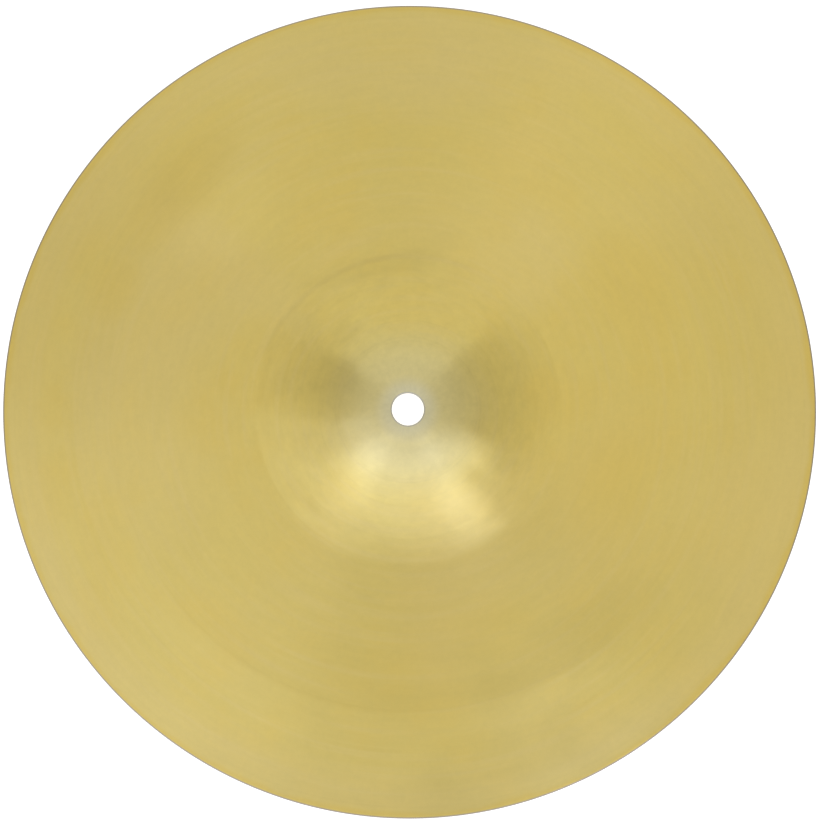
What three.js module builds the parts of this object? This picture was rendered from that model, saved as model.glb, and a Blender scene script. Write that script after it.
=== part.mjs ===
// A 14 inch crash cymbal: one round sheet of brass, pressed into a bell and a bow,
// turned on a lathe and drilled once in the middle for the rod of a stand.
// Millimetres, +Z up. The origin is the middle of the circle that the rim rests on.

import * as THREE from 'three';

// Driving dimensions.
const DIAMETER = 355.6;          // 14 inches across the rim
const SHEET = 0.9;               // thickness, measured square to the surface
const HOLE_RADIUS = 6.9;         // passes an 8 mm rod in its plastic sleeve
const SEAT_RADIUS = 10;          // small flat around the hole, where the felt washers centre
const CROWN_RADIUS = 14;         // where the surface has turned down beside that flat
const DOME_RADIUS = 21;          // middle of the bell's rounded dome
const SHOULDER_RADIUS = 31;      // steepest ring of the bell, where it starts to flare out
const FLARE_RADIUS = 40;         // middle of the flare
const SKIRT_RADIUS = 50;         // start of the bell's wide, shallower skirt
const CREASE_RADIUS = 66.5;      // middle of the bend where the bell meets the bow
const STEP_RADIUS = 132;         // middle of the faint bend that parts inner and outer bow
const BEND_WIDTH = 2;            // how wide each of the two bends is, along the radius
const ROUND_STEPS = 96;          // facets around the cymbal

// The downward slope of the sheet at each station, in degrees. Between two stations the
// slope changes evenly, so each stretch is an arc, and `steps` is how many facets it takes.
const STATIONS = [
  { radius: HOLE_RADIUS, slope: 0, steps: 0 },
  { radius: SEAT_RADIUS, slope: 0, steps: 1 },
  { radius: CROWN_RADIUS, slope: 16, steps: 1 },
  { radius: DOME_RADIUS, slope: 25, steps: 2 },
  { radius: SHOULDER_RADIUS, slope: 30, steps: 2 },
  { radius: FLARE_RADIUS, slope: 24, steps: 1 },
  { radius: SKIRT_RADIUS, slope: 19, steps: 1 },
  { radius: CREASE_RADIUS - BEND_WIDTH / 2, slope: 12.5, steps: 2 },
  { radius: CREASE_RADIUS + BEND_WIDTH / 2, slope: 6, steps: 1 },
  { radius: STEP_RADIUS - BEND_WIDTH / 2, slope: 7, steps: 3 },
  { radius: STEP_RADIUS + BEND_WIDTH / 2, slope: 9, steps: 1 },
  { radius: DIAMETER / 2, slope: 9, steps: 3 },
];

// The upper surface from the hole out to the rim, falling from height 0 at the hole.
function upperLine() {
  const hole = STATIONS[0];
  const line = [{ radius: hole.radius, height: 0, slope: 0 }];
  for (let i = 1; i < STATIONS.length; i++) {
    const from = STATIONS[i - 1];
    const to = STATIONS[i];
    for (let step = 1; step <= to.steps; step++) {
      const part = step / to.steps;
      const radius = THREE.MathUtils.lerp(from.radius, to.radius, part);
      const slope = THREE.MathUtils.degToRad(THREE.MathUtils.lerp(from.slope, to.slope, part));
      const last = line[line.length - 1];
      const fall = Math.tan((last.slope + slope) / 2) * (radius - last.radius);
      line.push({ radius, height: last.height - fall, slope });
    }
  }
  return line;
}

// The closed outline of the sheet's section. The underside lies one sheet thickness below
// the upper surface, square to it, and the rim's lowest corner is at height 0.
function sheetSection() {
  const upper = upperLine();
  const under = upper.map(({ radius, height, slope }) => (
    new THREE.Vector2(radius - SHEET * Math.sin(slope), height - SHEET * Math.cos(slope))
  ));
  const lift = -under[under.length - 1].y;
  const top = upper.map(({ radius, height }) => new THREE.Vector2(radius, height));
  const outline = [...under, ...top.reverse()];
  outline.push(outline[0].clone());
  return outline.map((point) => new THREE.Vector2(point.x, point.y + lift));
}

// The lathe turns the section about Y, so the geometry is turned to stand on +Z.
function cymbalMesh() {
  const geometry = new THREE.LatheGeometry(sheetSection(), ROUND_STEPS);
  geometry.rotateX(Math.PI / 2);
  const brass = new THREE.MeshStandardMaterial({
    color: 0xe7ce7f,
    roughness: 0.3,
    metalness: 1,
  });
  const mesh = new THREE.Mesh(geometry, brass);
  mesh.name = 'cymbal';
  return mesh;
}

const crashCymbal = new THREE.Group();
crashCymbal.add(cymbalMesh());

export default crashCymbal;
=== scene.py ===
"""Looks of the crash cymbal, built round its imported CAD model. Metres, +Z up.

The CAD node is a faceted sheet. It is replaced by one fine sheet with the same section: a bell, a
bow, a bend between them, rounded edges and the turning marks of the lathe.
"""
from math import cos, pi, radians, sin

import bpy
import numpy as np
from mathutils import Matrix, Vector


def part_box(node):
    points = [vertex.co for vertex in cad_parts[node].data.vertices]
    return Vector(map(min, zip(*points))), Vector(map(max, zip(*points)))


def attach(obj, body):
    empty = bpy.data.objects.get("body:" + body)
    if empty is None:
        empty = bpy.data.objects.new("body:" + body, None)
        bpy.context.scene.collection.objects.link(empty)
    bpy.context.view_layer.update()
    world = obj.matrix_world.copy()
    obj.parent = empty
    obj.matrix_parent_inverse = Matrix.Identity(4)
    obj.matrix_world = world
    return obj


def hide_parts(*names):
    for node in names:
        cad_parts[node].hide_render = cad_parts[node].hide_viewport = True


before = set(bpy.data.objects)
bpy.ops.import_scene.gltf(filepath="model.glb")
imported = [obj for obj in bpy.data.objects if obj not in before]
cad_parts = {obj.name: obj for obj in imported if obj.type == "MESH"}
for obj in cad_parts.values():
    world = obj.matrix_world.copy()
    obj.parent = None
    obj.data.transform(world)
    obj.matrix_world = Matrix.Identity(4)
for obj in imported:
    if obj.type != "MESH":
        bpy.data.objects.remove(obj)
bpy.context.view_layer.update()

MM = 0.001
low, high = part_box("cymbal")
RIM_RADIUS = (high.x - low.x) / 2
TOP = high.z
SHEET = 0.9 * MM
HOLE_RADIUS = 6.9 * MM
SEAT_RADIUS = 10 * MM
CROWN_RADIUS = 14 * MM
DOME_RADIUS = 21 * MM
SHOULDER_RADIUS = 31 * MM
FLARE_RADIUS = 40 * MM
SKIRT_RADIUS = 50 * MM
CREASE_RADIUS = 66.5 * MM
STEP_RADIUS = 132 * MM

# The sheet's downward slope in degrees at each radius. It changes evenly in between. The bends
# are the CAD's, made tighter, and the bell's foot kicks out just before the crease.
STATIONS = [
    (HOLE_RADIUS, 0),
    (SEAT_RADIUS, 0),
    (CROWN_RADIUS, 16),
    (DOME_RADIUS, 25),
    (SHOULDER_RADIUS, 30),
    (FLARE_RADIUS, 24),
    (SKIRT_RADIUS, 19),
    (CREASE_RADIUS - 5 * MM, 12.5),
    (CREASE_RADIUS - 0.6 * MM, 12.5),
    (CREASE_RADIUS + 0.5 * MM, 5.5),
    (CREASE_RADIUS + 2.5 * MM, 6),
    (STEP_RADIUS - 0.7 * MM, 7),
    (STEP_RADIUS + 0.7 * MM, 9),
    (RIM_RADIUS, 9),
]


# ---------------------------------------------------------------- the sheet

SPOKES = 384                    # quads around the cymbal
TOP_STEP = 1.3 * MM             # how far apart the rings of the upper surface are
FINE_STEP = 0.4 * MM            # the same across a ring that the lathe left
UNDER_STEP = 2.6 * MM           # the same on the underside
EDGE_ROUND = 0.4 * MM           # radius of the broken corners at the hole and the rim
EDGE_STEPS = 4                  # facets on each of those corners
EDGE_CLEAR = 1.5 * EDGE_ROUND   # how near to an edge the surfaces' own rings come

# Rings that the lathe tool left, as (radius, depth, half width).
RINGS = [
    (19.8 * MM, 0.010 * MM, 0.5 * MM),
    (29.9 * MM, 0.014 * MM, 0.5 * MM),
    (31.4 * MM, 0.022 * MM, 0.5 * MM),
    (38.8 * MM, 0.016 * MM, 0.5 * MM),
    (41.4 * MM, 0.010 * MM, 0.5 * MM),
    (55.8 * MM, 0.008 * MM, 0.5 * MM),
    (130.3 * MM, 0.010 * MM, 0.6 * MM),
    (147.5 * MM, 0.008 * MM, 0.6 * MM),
    (172.6 * MM, 0.010 * MM, 0.6 * MM),
]

# The bend at the bell's foot is crisp but for one side, where it spreads this far each way.
SOFT_BEND_AZIMUTH = 285         # the middle of that side, in degrees
SOFT_BEND_HALF = 3.5 * MM
SOFT_BEND_FADE = (0.1, 0.75)    # cosines from the middle where the spreading starts and is full
SOFT_BEND_SAMPLES = 101

# Shallow waves left by the press, as (height, wavelength, direction in degrees, phase).
WAVES = [
    (0.09 * MM, 118 * MM, 24, 0.4),
    (0.07 * MM, 83 * MM, 131, 2.1),
    (0.05 * MM, 64 * MM, 77, 4.0),
    (0.03 * MM, 41 * MM, 160, 1.2),
    (0.02 * MM, 29 * MM, 48, 5.3),
]

# Ripples around the bell, as (height, ripples a turn, phase), and the angle in radians that they
# drift round on the way from the axis to the crease.
BELL_RIPPLES = [(0.035 * MM, 7, 0.9), (0.025 * MM, 11, 2.7), (0.018 * MM, 16, 4.4)]
RIPPLE_DRIFT = 4

# Where the waves and the ripples are: the radii between which they rise, then fall away.
WAVE_ZONE = ((CREASE_RADIUS, 90 * MM), (150 * MM, RIM_RADIUS))
RIPPLE_ZONE = ((14 * MM, 30 * MM), (50 * MM, CREASE_RADIUS))

# Small dents and swellings, as (height, azimuth in degrees, radius, half length round the arc,
# half length along the radius).
DENTS = [
    (-0.30 * MM, 318, 37 * MM, 4.5 * MM, 6.0 * MM),
    (0.20 * MM, 300, 15 * MM, 7.0 * MM, 6.0 * MM),
    (0.26 * MM, 225, 61.5 * MM, 7 * MM, 3.5 * MM),
    (0.14 * MM, 312, 62.0 * MM, 7 * MM, 3.5 * MM),
    (0.34 * MM, 308, 55.0 * MM, 14 * MM, 7.0 * MM),
    (-0.06 * MM, 95, 48 * MM, 9 * MM, 6 * MM),
    (0.08 * MM, 150, 28 * MM, 5 * MM, 5 * MM),
    (-0.10 * MM, 61, 121 * MM, 16 * MM, 12 * MM),
    (0.08 * MM, 187, 104 * MM, 18 * MM, 11 * MM),
    (0.08 * MM, 334, 140 * MM, 20 * MM, 9 * MM),
]


def line_radii(step):
    """Radii of one surface's rings: every station, with even steps between them."""
    radii = []
    for (start, _), (end, _) in zip(STATIONS, STATIONS[1:]):
        count = max(2, round((end - start) / step))
        radii.extend(start + (end - start) * i / count for i in range(count))
    return radii + [RIM_RADIUS]


def slopes_at(radii):
    """The upper surface's downward slope at each radius, in radians."""
    return np.interp(radii, [r for r, _ in STATIONS], [radians(s) for _, s in STATIONS])


def surface_line(step, rings=()):
    """(radii, heights, slopes in radians) of the upper surface, from the hole to the rim."""
    radii = line_radii(step)
    for centre, _, half in rings:
        radii = [r for r in radii if abs(r - centre) > half + FINE_STEP / 2]
        radii.extend(np.arange(centre - half, centre + half + FINE_STEP / 2, FINE_STEP))
    radii = np.array(sorted(radii))
    slopes = slopes_at(radii)
    falls = np.tan((slopes[1:] + slopes[:-1]) / 2) * np.diff(radii)
    heights = TOP - np.concatenate([[0], np.cumsum(falls)])
    for centre, depth, half in rings:
        heights -= depth * np.exp(-2 * ((radii - centre) / half) ** 2)
    return radii, heights, slopes


def rounded_end(centre_r, centre_z, start, turn):
    """Points on a quarter circle round a corner's centre, from angle start through turn."""
    angles = [start + turn * i / EDGE_STEPS for i in range(EDGE_STEPS + 1)]
    return [(centre_r + EDGE_ROUND * cos(a), centre_z + EDGE_ROUND * sin(a)) for a in angles]


def away_from_edges(radii):
    """Which rings lie clear of the rounded corners."""
    return (radii > HOLE_RADIUS + EDGE_CLEAR) & (radii < RIM_RADIUS - EDGE_CLEAR)


def sheet_section():
    """The closed outline of the sheet: up the hole's wall, out over the top, back underneath."""
    radii, heights, slopes = surface_line(TOP_STEP, RINGS)
    wall_low = TOP - SHEET
    hole_top = rounded_end(HOLE_RADIUS + EDGE_ROUND, TOP - EDGE_ROUND, pi, -pi / 2)
    hole_low = rounded_end(HOLE_RADIUS + EDGE_ROUND, wall_low + EDGE_ROUND, -pi / 2, -pi / 2)
    tilt = slopes[-1]
    along = np.array([cos(tilt), -sin(tilt)])
    square = np.array([sin(tilt), cos(tilt)])
    corner = np.array([radii[-1], heights[-1]])
    top_centre = corner - EDGE_ROUND * (along + square)
    low_centre = corner - EDGE_ROUND * along - (SHEET - EDGE_ROUND) * square
    rim_top = rounded_end(*top_centre, pi / 2 - tilt, -pi / 2)
    rim_low = rounded_end(*low_centre, -tilt, -pi / 2)
    inside = away_from_edges(radii)
    top = list(zip(radii[inside], heights[inside]))
    radii, heights, slopes = surface_line(UNDER_STEP)
    inside = away_from_edges(radii)
    under = [
        (r - SHEET * sin(s), z - SHEET * cos(s))
        for r, z, s in zip(radii[inside], heights[inside], slopes[inside])
    ]
    return hole_low + hole_top + top + rim_top + rim_low + under[::-1]


def smooth_step(value, start, end):
    """0 at start, 1 at end, smooth in between."""
    share = np.clip((value - start) / (end - start), 0, 1)
    return share * share * (3 - 2 * share)


def in_zone(radius, zone):
    """0 outside a zone and 1 in the middle of it, smooth where it rises and falls."""
    (rise_start, rise_end), (fall_start, fall_end) = zone
    return smooth_step(radius, rise_start, rise_end) * smooth_step(radius, fall_end, fall_start)


def soft_bend(radius, angle):
    """How much higher the sheet is where the bend at the bell's foot is spread out."""
    ends = [CREASE_RADIUS - SOFT_BEND_HALF, CREASE_RADIUS + SOFT_BEND_HALF]
    radii = np.linspace(*ends, SOFT_BEND_SAMPLES)
    crisp = slopes_at(radii)
    spread = np.interp(radii, ends, slopes_at(ends))
    gain = np.cumsum(crisp - spread) * (radii[1] - radii[0])
    gain -= np.interp(radii, ends, [0, gain[-1]])
    share = smooth_step(np.cos(angle - radians(SOFT_BEND_AZIMUTH)), *SOFT_BEND_FADE)
    return share * np.interp(radius, radii, gain, left=0, right=0)


def sheet_warp(x, y):
    """How far the pressed sheet is from true, in metres. The hole and the rim stay true."""
    radius = np.hypot(x, y)
    angle = np.arctan2(y, x)
    waves = 0 * radius
    for height, length, direction, phase in WAVES:
        along = x * cos(radians(direction)) + y * sin(radians(direction))
        waves += height * np.sin(2 * pi * along / length + phase)
    warp = waves * in_zone(radius, WAVE_ZONE)
    for height, count, phase in BELL_RIPPLES:
        drift = RIPPLE_DRIFT * radius / CREASE_RADIUS
        warp += height * in_zone(radius, RIPPLE_ZONE) * np.sin(count * angle + phase + drift)
    for height, azimuth, centre, around, along in DENTS:
        toward_x = cos(radians(azimuth))
        toward_y = sin(radians(azimuth))
        facing = x * toward_x + y * toward_y > 0
        out = (radius - centre) / along
        side = (y * toward_x - x * toward_y) / around
        warp += height * facing * np.exp(-out * out - side * side)
    return warp + soft_bend(radius, angle)


def build_sheet():
    """One closed mesh, turned round the axis, with a map laid out around and across it."""
    section = np.array(sheet_section())
    count = len(section)
    turns = np.arange(SPOKES) * 2 * pi / SPOKES
    x = np.outer(np.cos(turns), section[:, 0])
    y = np.outer(np.sin(turns), section[:, 0])
    z = np.tile(section[:, 1], (SPOKES, 1)) + sheet_warp(x, y)
    points = np.stack([x, y, z], axis=-1).reshape(-1, 3)
    lengths = np.linalg.norm(np.roll(section, -1, axis=0) - section, axis=1)
    across = np.concatenate([[0], np.cumsum(lengths)]) / lengths.sum()
    faces = []
    corners = []
    for turn in range(SPOKES):
        first = turn * count
        second = (turn + 1) % SPOKES * count
        here = turn / SPOKES
        there = (turn + 1) / SPOKES
        for i in range(count):
            j = (i + 1) % count
            faces.append((first + j, first + i, second + i, second + j))
            corners += [(here, across[i + 1]), (here, across[i])]
            corners += [(there, across[i]), (there, across[i + 1])]
    mesh = bpy.data.meshes.new("cymbal_sheet")
    mesh.from_pydata(points.tolist(), [], faces)
    mesh.shade_smooth()
    uv = mesh.uv_layers.new(name="OFBake")
    uv.data.foreach_set("uv", np.array(corners, np.float32).ravel())
    piece = bpy.data.objects.new("cymbal_sheet", mesh)
    bpy.context.scene.collection.objects.link(piece)
    return piece


# ---------------------------------------------------------------- materials

class Nodes:
    """A material's node tree, with short calls to add and join nodes."""

    def __init__(self, name):
        self.material = bpy.data.materials.new(name)
        self.material.use_nodes = True
        self.tree = self.material.node_tree
        self.shader = self.tree.nodes["Principled BSDF"]

    def add(self, kind, **settings):
        node = self.tree.nodes.new("ShaderNode" + kind)
        for key, value in settings.items():
            setattr(node, key, value)
        return node

    def plug(self, value, socket):
        """Joins an output to a socket, or sets the socket to a number or colour."""
        if isinstance(value, bpy.types.NodeSocket):
            self.tree.links.new(value, socket)
        else:
            socket.default_value = value

    def surface(self, looks):
        """Plugs values into the shader's sockets by name, and gives the finished material."""
        for name, value in looks.items():
            self.plug(value, self.shader.inputs[name])
        return self.material

    def math(self, operation, *values):
        node = self.add("Math", operation=operation)
        for value, socket in zip(values, node.inputs):
            self.plug(value, socket)
        return node.outputs[0]

    def blend(self, first, first_part, second, second_part):
        """A sum of two values, each times its part."""
        one = self.math("MULTIPLY", first, first_part)
        return self.math("ADD", one, self.math("MULTIPLY", second, second_part))

    def swing(self, noise, amount):
        """A noise made to swing evenly round zero, as a share of the amount."""
        return self.math("MULTIPLY", self.math("SUBTRACT", noise, 0.5), amount)

    def most(self, values):
        """The largest of several values."""
        largest = values[0]
        for value in values[1:]:
            largest = self.math("MAXIMUM", largest, value)
        return largest

    def vector(self, x, y, z):
        node = self.add("CombineXYZ")
        for value, socket in zip((x, y, z), node.inputs):
            self.plug(value, socket)
        return node.outputs[0]

    def scale(self, vector, factor):
        node = self.add("VectorMath", operation="SCALE")
        self.plug(vector, node.inputs[0])
        self.plug(factor, node.inputs["Scale"])
        return node.outputs[0]

    def noise(self, vector, scale=1.0, detail=2.0, roughness=0.5):
        node = self.add("TexNoise")
        self.plug(vector, node.inputs["Vector"])
        node.inputs["Scale"].default_value = scale
        node.inputs["Detail"].default_value = detail
        node.inputs["Roughness"].default_value = roughness
        return node.outputs["Fac"]

    def fade(self, value, start, end):
        """0 at start, 1 at end, smooth in between."""
        node = self.add("MapRange", interpolation_type="SMOOTHSTEP", clamp=True)
        self.plug(value, node.inputs["Value"])
        node.inputs["From Min"].default_value = min(start, end)
        node.inputs["From Max"].default_value = max(start, end)
        node.inputs["To Min"].default_value = 0.0 if start < end else 1.0
        node.inputs["To Max"].default_value = 1.0 if start < end else 0.0
        return node.outputs["Result"]

    def mix(self, share, first, second):
        node = self.add("Mix", data_type="RGBA")
        self.plug(share, node.inputs["Factor"])
        self.plug(first, node.inputs["A"])
        self.plug(second, node.inputs["B"])
        return node.outputs["Result"]

    def bump(self, height, strength, distance, normal=None):
        node = self.add("Bump")
        node.inputs["Strength"].default_value = strength
        node.inputs["Distance"].default_value = distance
        self.plug(height, node.inputs["Height"])
        if normal:
            self.plug(normal, node.inputs["Normal"])
        return node.outputs[0]


BRASS = (0.80, 0.62, 0.166, 1)
ORANGE_BRASS = (0.80, 0.59, 0.135, 1)
PALE_BRASS = (0.815, 0.635, 0.215, 1)
CROWN_BRASS = (0.79, 0.665, 0.270, 1)    # where the bell is rubbed pale
SILVER_BRASS = (0.76, 0.680, 0.370, 1)   # where the washers sit
DARK_RIM_BRASS = (0.42, 0.35, 0.23, 1)       # darker at the cut rim
DRILLED_BRASS = (0.52, 0.50, 0.40, 1)    # the wall and the corners of the hole
CREASE_PAINTED_SHADE = (0.50, 0.37, 0.11, 1)      # painted shade in the crease

# Colours that change with the radius, as (colour, radius where it starts, radius where it is
# full, strength there, how far the mottle frays its edge). Each lies over the ones before.
RADIAL_COLOURS = [
    (CROWN_BRASS, 44 * MM, 13 * MM, 1.0, 0),
    (SILVER_BRASS, 16 * MM, 8 * MM, 1.0, 0),
    (PALE_BRASS, 152 * MM, 170 * MM, 0.4, 6 * MM),
    (ORANGE_BRASS, 174 * MM, 176.5 * MM, 0.8, 6 * MM),
    (DARK_RIM_BRASS, RIM_RADIUS - 0.9 * MM, RIM_RADIUS - 0.4 * MM, 1.0, 0),
    (DRILLED_BRASS, HOLE_RADIUS + 0.8 * MM, HOLE_RADIUS + 0.2 * MM, 1.0, 0),
]

# Patches of paler metal, of tarnish and of painted shade and highlights, as (azimuth in degrees,
# radius, half length round the arc, half length along the radius, strength). Painted shade and
# highlight patches keep the colour: the strength is how much they darken, or brighten if
# negative.
PALE_PATCHES = [
    (52, 84 * MM, 20 * MM, 22 * MM, 0.45),
    (141, 98 * MM, 12 * MM, 38 * MM, 0.4),
    (90, 147 * MM, 66 * MM, 16 * MM, 0.5),
    (178, 118 * MM, 50 * MM, 34 * MM, 0.45),
]
TARNISH_PATCHES = [
    (136, 140 * MM, 32 * MM, 12 * MM, 0.5),
    (157, 140 * MM, 14 * MM, 10 * MM, 0.45),
    (29, 111 * MM, 22 * MM, 18 * MM, 0.5),
    (-20, 93 * MM, 26 * MM, 16 * MM, 0.5),
    (204, 146 * MM, 20 * MM, 10 * MM, 0.3),
    (276, 112 * MM, 46 * MM, 22 * MM, 0.15),
]
PAINTED_SHADE_AND_HIGHLIGHT_PATCHES = [
    (276, 11.5 * MM, 10 * MM, 4 * MM, -0.07),
    (20, 16 * MM, 12 * MM, 9 * MM, 0.07),
    (299, 24 * MM, 6 * MM, 6 * MM, 0.08),
    (158, 33 * MM, 9 * MM, 9 * MM, 0.05),
    (200, 42 * MM, 7 * MM, 9 * MM, 0.05),
    (130, 43 * MM, 6 * MM, 5 * MM, 0.06),
    (181, 44 * MM, 7 * MM, 22 * MM, -0.05),
    (331, 48 * MM, 6 * MM, 6 * MM, 0.08),
    (307, 52 * MM, 5.5 * MM, 5 * MM, -0.11),
    (243, 53 * MM, 7 * MM, 6 * MM, 0.06),
    (103, 63.5 * MM, 28 * MM, 5 * MM, 0.045),
    (133, 113 * MM, 24 * MM, 14 * MM, -0.045),
    (306, 123 * MM, 40 * MM, 14 * MM, 0.05),
    (134, 142 * MM, 26 * MM, 10 * MM, 0.03),
    (299, 160 * MM, 16 * MM, 18 * MM, 0.04),
    (252, 168 * MM, 40 * MM, 14 * MM, 0.045),
    (290, 168 * MM, 70 * MM, 22 * MM, 0.06),
]
PATCH_FADE = (2.2, -0.4)   # where a patch starts and is full: half lengths away, squared
PATCH_RAGGED = 3.0         # how far the mottle shifts that

CREASE_SHADE_RADIUS = CREASE_RADIUS + 0.7 * MM   # the middle of the painted shade in the crease
CREASE_SHADE_HALF = 2.1 * MM       # how far it reaches to each side
CREASE_SHADE_CORE = 0.1 * MM       # how far it is full to each side
CREASE_SHADE_AZIMUTH = 112         # the middle of the side that it is on, in degrees
CREASE_SHADE_FADE = (0.55, 0.9)    # cosines from that middle where it starts and is full
CREASE_SHADE_STRENGTH = 0.22
RING_PAINTED_SHADE = 2000           # how much painted shade darkens a lathe ring for each metre of its depth
RING_PAINTED_SHADE_FADE = (1.2, 0.1)   # where that starts and is full, in the ring's half widths

BOW_STREAKS = 0.07         # how far each cause makes the brightness swing
BELL_STREAKS = 0.10        # on the bell, on top of the bow's
GRAIN_SHADE = 0.085
MOTTLE_SHADE = 0.07

ROUGHNESS = 0.315
CROWN_ROUGHNESS = 0.15     # on the crown, on top of that
BAND_ROUGHNESS = 0.08      # how far the bands and the mottle make it swing
MOTTLE_ROUGHNESS = 0.06
STRETCH = 0.667            # how much the lathe's lines stretch a highlight


def brass_material():
    """Brass turned on a lathe: fine lines round the axis, tarnish in soft patches, painted shade
    and highlights.
    """
    n = Nodes("turned_brass")
    place = n.add("TexCoord").outputs["Object"]
    split = n.add("SeparateXYZ")
    n.plug(place, split.inputs[0])
    x, y, _ = split.outputs
    radius = n.math("SQRT", n.math("ADD", n.math("MULTIPLY", x, x), n.math("MULTIPLY", y, y)))
    side_x = n.math("DIVIDE", x, radius)
    side_y = n.math("DIVIDE", y, radius)

    def turned(around, across):
        """Coordinates whose noise runs in arcs: 6 x around cells a turn, across cells a metre."""
        return n.vector(
            n.math("MULTIPLY", side_x, around),
            n.math("MULTIPLY", side_y, around),
            n.math("MULTIPLY", radius, across),
        )

    hairlines = n.noise(turned(7.0, 2400.0), detail=2.0, roughness=0.6)
    bands = n.noise(turned(1.5, 420.0), detail=2.0)
    smears = n.noise(turned(7.0, 300.0), detail=3.0, roughness=0.65)
    grain = n.noise(place, scale=330.0, detail=4.0, roughness=0.75)
    mottle = n.noise(place, scale=30.0, detail=4.0, roughness=0.6)
    blooms = n.noise(place, scale=9.0, detail=2.0)

    def patch(azimuth, centre, around, along, strength):
        """One soft-edged patch, its outline broken up by the mottle."""
        toward_x = cos(radians(azimuth))
        toward_y = sin(radians(azimuth))
        ahead = n.blend(x, toward_x / along, y, toward_y / along)
        out = n.math("SUBTRACT", ahead, centre / along)
        side = n.blend(y, toward_x / around, x, -toward_y / around)
        reach = n.blend(out, out, side, side)
        ragged = n.math("ADD", reach, n.swing(mottle, PATCH_RAGGED))
        return n.math("MULTIPLY", n.fade(ragged, *PATCH_FADE), strength)

    def painted_ring_shade(centre, depth, half):
        """Painted shade in one of the lathe's rings."""
        away = n.math("ABSOLUTE", n.math("SUBTRACT", radius, centre))
        start, end = RING_PAINTED_SHADE_FADE
        return n.math("MULTIPLY", n.fade(away, start * half, end * half), depth * RING_PAINTED_SHADE)

    def painted_crease_shade():
        """Painted shade along one side of the crease, in broken stretches."""
        away = n.math("ABSOLUTE", n.math("SUBTRACT", radius, CREASE_SHADE_RADIUS))
        facing = n.blend(side_x, cos(radians(CREASE_SHADE_AZIMUTH)), side_y, sin(radians(CREASE_SHADE_AZIMUTH)))
        there = n.math("MULTIPLY", n.fade(away, CREASE_SHADE_HALF, CREASE_SHADE_CORE), n.fade(facing, *CREASE_SHADE_FADE))
        return n.math("MULTIPLY", there, n.fade(mottle, 0.30, 0.65))

    def tinted(colour, tint, share, strength):
        """The colour turned towards a tint by a share of the strength."""
        return n.mix(n.math("MULTIPLY", share, strength), colour, tint)

    colour = tinted(BRASS, ORANGE_BRASS, n.fade(mottle, 0.40, 0.70), 0.55)
    colour = tinted(colour, PALE_BRASS, n.fade(blooms, 0.45, 0.75), 0.5)
    colour = tinted(colour, PALE_BRASS, n.fade(bands, 0.45, 0.75), 0.35)
    colour = n.mix(n.most([patch(*row) for row in PALE_PATCHES]), colour, PALE_BRASS)
    colour = n.mix(n.most([patch(*row) for row in TARNISH_PATCHES]), colour, ORANGE_BRASS)
    for tint, start, end, strength, fray in RADIAL_COLOURS:
        frayed = n.math("ADD", radius, n.swing(mottle, fray))
        colour = tinted(colour, tint, n.fade(frayed, start, end), strength)
    # Painted shade along one side of the crease.
    colour = tinted(colour, CREASE_PAINTED_SHADE, painted_crease_shade(), CREASE_SHADE_STRENGTH)

    on_bell = n.fade(radius, 80 * MM, 50 * MM)
    streakiness = n.math("ADD", BOW_STREAKS, n.math("MULTIPLY", on_bell, BELL_STREAKS))
    brightness = n.math("ADD", 1.0, n.swing(smears, streakiness))
    brightness = n.math("ADD", brightness, n.swing(grain, GRAIN_SHADE))
    brightness = n.math("ADD", brightness, n.swing(mottle, MOTTLE_SHADE))
    # Patches of painted shade darken the metal, and patches of painted highlight (negative
    # strength) brighten it.
    for row in PAINTED_SHADE_AND_HIGHLIGHT_PATCHES:
        brightness = n.math("SUBTRACT", brightness, patch(*row))
    # Painted shade in the lathe's rings, stronger where the mottle is high.
    painted_shade_in_rings = n.math("MULTIPLY", n.most([painted_ring_shade(*row) for row in RINGS]), mottle)
    brightness = n.math("SUBTRACT", brightness, painted_shade_in_rings)

    on_crown = n.fade(radius, 28 * MM, 12 * MM)
    rough = n.math("ADD", ROUGHNESS, n.math("MULTIPLY", on_crown, CROWN_ROUGHNESS))
    rough = n.math("ADD", rough, n.swing(bands, BAND_ROUGHNESS))
    rough = n.math("ADD", rough, n.swing(mottle, MOTTLE_ROUGHNESS))

    fine = n.bump(hairlines, 0.25, 0.01 * MM)
    coarse = n.bump(bands, 0.5, 0.03 * MM, normal=fine)
    around = n.add("Tangent", direction_type="RADIAL", axis="Z")
    return n.surface({
        "Base Color": n.scale(colour, brightness),
        "Metallic": 1.0,
        "Roughness": rough,
        "Normal": coarse,
        "Tangent": around.outputs[0],
        "Anisotropic": STRETCH,
        "Anisotropic Rotation": 0.25,
    })


# ---------------------------------------------------------------- studio

FLOOR_SIDE = 60.0
WALL_RADIUS = 18.0        # white, and seen only by the camera
WALL_HEIGHT = 8.0
WALL_GLOW = 1.0
SCREEN_RADIUS = 3.2       # grey and hidden from the camera: a darker low reflection in the brass
SCREEN_HEIGHT = 1.04
SCREEN_GLOW = 0.24
WALL_SIDES = 48           # flat sides of the wall and of the screen
SURROUND = 0.592          # strength of the even white light from all round

# Soft lights, as (name, azimuth and angle from the zenith in degrees, width, length, radiance).
LIGHT_DISTANCE = 1.8
LIGHTS = [
    ("north", 93, 66, 3.0, 2.4, (0.195, 0.221, 0.335)),
    ("south_west", 215, 57, 1.4, 2.7, (0.267, 0.302, 0.545)),
    ("south_east", 298, 40.5, 0.42, 0.24, (1.42, 1.60, 3.09)),
    ("south", 276, 60, 4.5, 1.7, (0.51, 0.59, 1.06)),
    ("east_top", 20, 20, 1.45, 0.7, (0.25, 0.25, 0.304)),
    ("west_top", 145, 15.5, 1.0, 1.05, (0.166, 0.174, 0.265)),
]


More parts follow.
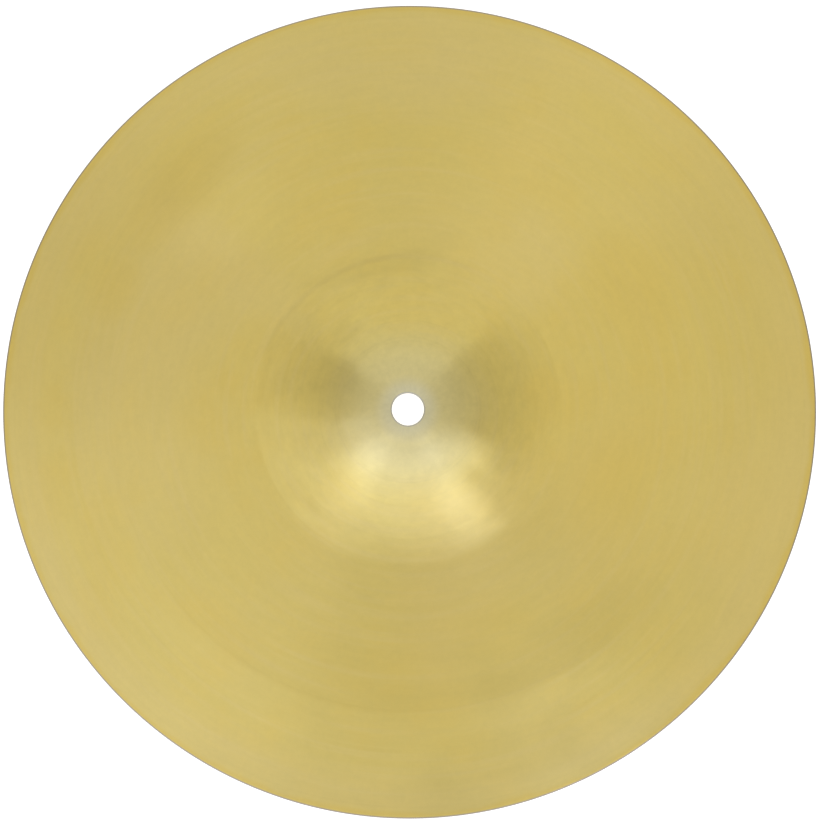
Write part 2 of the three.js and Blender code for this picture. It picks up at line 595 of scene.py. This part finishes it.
def floor_material():
    """A white table lit from within, so that the hole shows as bright as the ground around."""
    return Nodes("pale_floor").surface({
        "Base Color": (0.35, 0.35, 0.35, 1),
        "Roughness": 0.9,
        "Specular IOR Level": 0.1,
        "Emission Color": (1, 1, 1, 1),
        "Emission Strength": 1.0,
    })


def glow_material(name, strength):
    """An even white glow."""
    return Nodes(name).surface({
        "Base Color": (0, 0, 0, 1),
        "Emission Color": (1, 1, 1, 1),
        "Emission Strength": strength,
    })


def stage_piece(name, points, faces, material):
    """A piece of the studio, which isn't part of the cymbal."""
    mesh = bpy.data.meshes.new(name)
    mesh.from_pydata(points, [], faces)
    mesh.materials.append(material)
    piece = bpy.data.objects.new(name, mesh)
    bpy.context.scene.collection.objects.link(piece)
    return piece


def stage_ring(name, radius, height, strength):
    """A round wall about the cymbal, which casts no shadow."""
    turns = [2 * pi * i / WALL_SIDES for i in range(WALL_SIDES)]
    points = [(radius * cos(a), radius * sin(a), z) for z in (0, height) for a in turns]
    faces = []
    for i in range(WALL_SIDES):
        j = (i + 1) % WALL_SIDES
        faces.append((i, j, WALL_SIDES + j, WALL_SIDES + i))
    ring = stage_piece(name, points, faces, glow_material(name + "_glow", strength))
    ring.visible_shadow = False
    ring.visible_transmission = False
    return ring


def build_stage():
    """The floor, the white wall behind the cymbal and the grey screen round it."""
    half = FLOOR_SIDE / 2
    points = [(-half, -half, 0), (half, -half, 0), (half, half, 0), (-half, half, 0)]
    stage_piece("floor", points, [(0, 1, 2, 3)], floor_material())
    wall = stage_ring("wall", WALL_RADIUS, WALL_HEIGHT, WALL_GLOW)
    wall.visible_diffuse = False
    wall.visible_glossy = False
    screen = stage_ring("screen", SCREEN_RADIUS, SCREEN_HEIGHT, SCREEN_GLOW)
    screen.visible_camera = False


def softbox(name, azimuth, zenith, width, length, radiance):
    """A soft light at a direction from the cymbal, facing it. The camera doesn't see it.

    Width is level, length runs down from the zenith, and radiance is red, green and blue.
    """
    lamp = bpy.data.lights.new(name, "AREA")
    lamp.shape = "RECTANGLE"
    lamp.size = width
    lamp.size_y = length
    strongest = max(radiance)
    lamp.color = [part / strongest for part in radiance]
    lamp.energy = pi * width * length * strongest
    holder = bpy.data.objects.new(name, lamp)
    bpy.context.scene.collection.objects.link(holder)
    a = radians(azimuth)
    t = radians(zenith)
    level = Vector((-sin(a), cos(a), 0))
    outward = Vector((cos(a) * sin(t), sin(a) * sin(t), cos(t)))
    turn = Matrix((level, outward.cross(level), outward)).transposed()
    holder.matrix_world = Matrix.Translation(outward * LIGHT_DISTANCE) @ turn.to_4x4()
    holder.visible_camera = False


def light_studio():
    """The even surround and the soft lights."""
    world = bpy.data.worlds.new("studio")
    world.use_nodes = True
    background = world.node_tree.nodes["Background"]
    background.inputs["Color"].default_value = (1, 1, 1, 1)
    background.inputs["Strength"].default_value = SURROUND
    bpy.context.scene.world = world
    for row in LIGHTS:
        softbox(*row)


# ---------------------------------------------------------------- camera

CAMERA_DISTANCE = 2.0
CAMERA_TILT = 1.589       # degrees off the cymbal's axis
CAMERA_TURN = -58.71      # the side that it leans to, in degrees from +X
CAMERA_LENS = 200.29      # mm, on a 36 mm sensor
CAMERA_AIM = Vector((0.383 * MM, 0.183 * MM, 0))
CAMERA_REACH = 200        # how far it sees


def place_camera():
    """A camera almost straight above the cymbal, with +Y upwards in the picture."""
    camera = bpy.data.objects.new("camera", bpy.data.cameras.new("camera"))
    bpy.context.scene.collection.objects.link(camera)
    camera.data.lens = CAMERA_LENS
    camera.data.clip_end = CAMERA_REACH
    tilt = radians(CAMERA_TILT)
    side = radians(CAMERA_TURN)
    toward = Vector((sin(tilt) * cos(side), sin(tilt) * sin(side), cos(tilt)))
    camera.location = CAMERA_DISTANCE * toward
    back = (camera.location - CAMERA_AIM).normalized()
    right = Vector((0, 1, 0)).cross(back).normalized()
    up = back.cross(right)
    camera.rotation_euler = Matrix((right, up, back)).transposed().to_euler()
    bpy.context.scene.camera = camera


# ---------------------------------------------------------------- scene

bpy.context.scene.view_settings.view_transform = "Standard"

sheet = build_sheet()
sheet.data.materials.append(brass_material())
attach(sheet, "root")
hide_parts("cymbal")

build_stage()
light_studio()
place_camera()
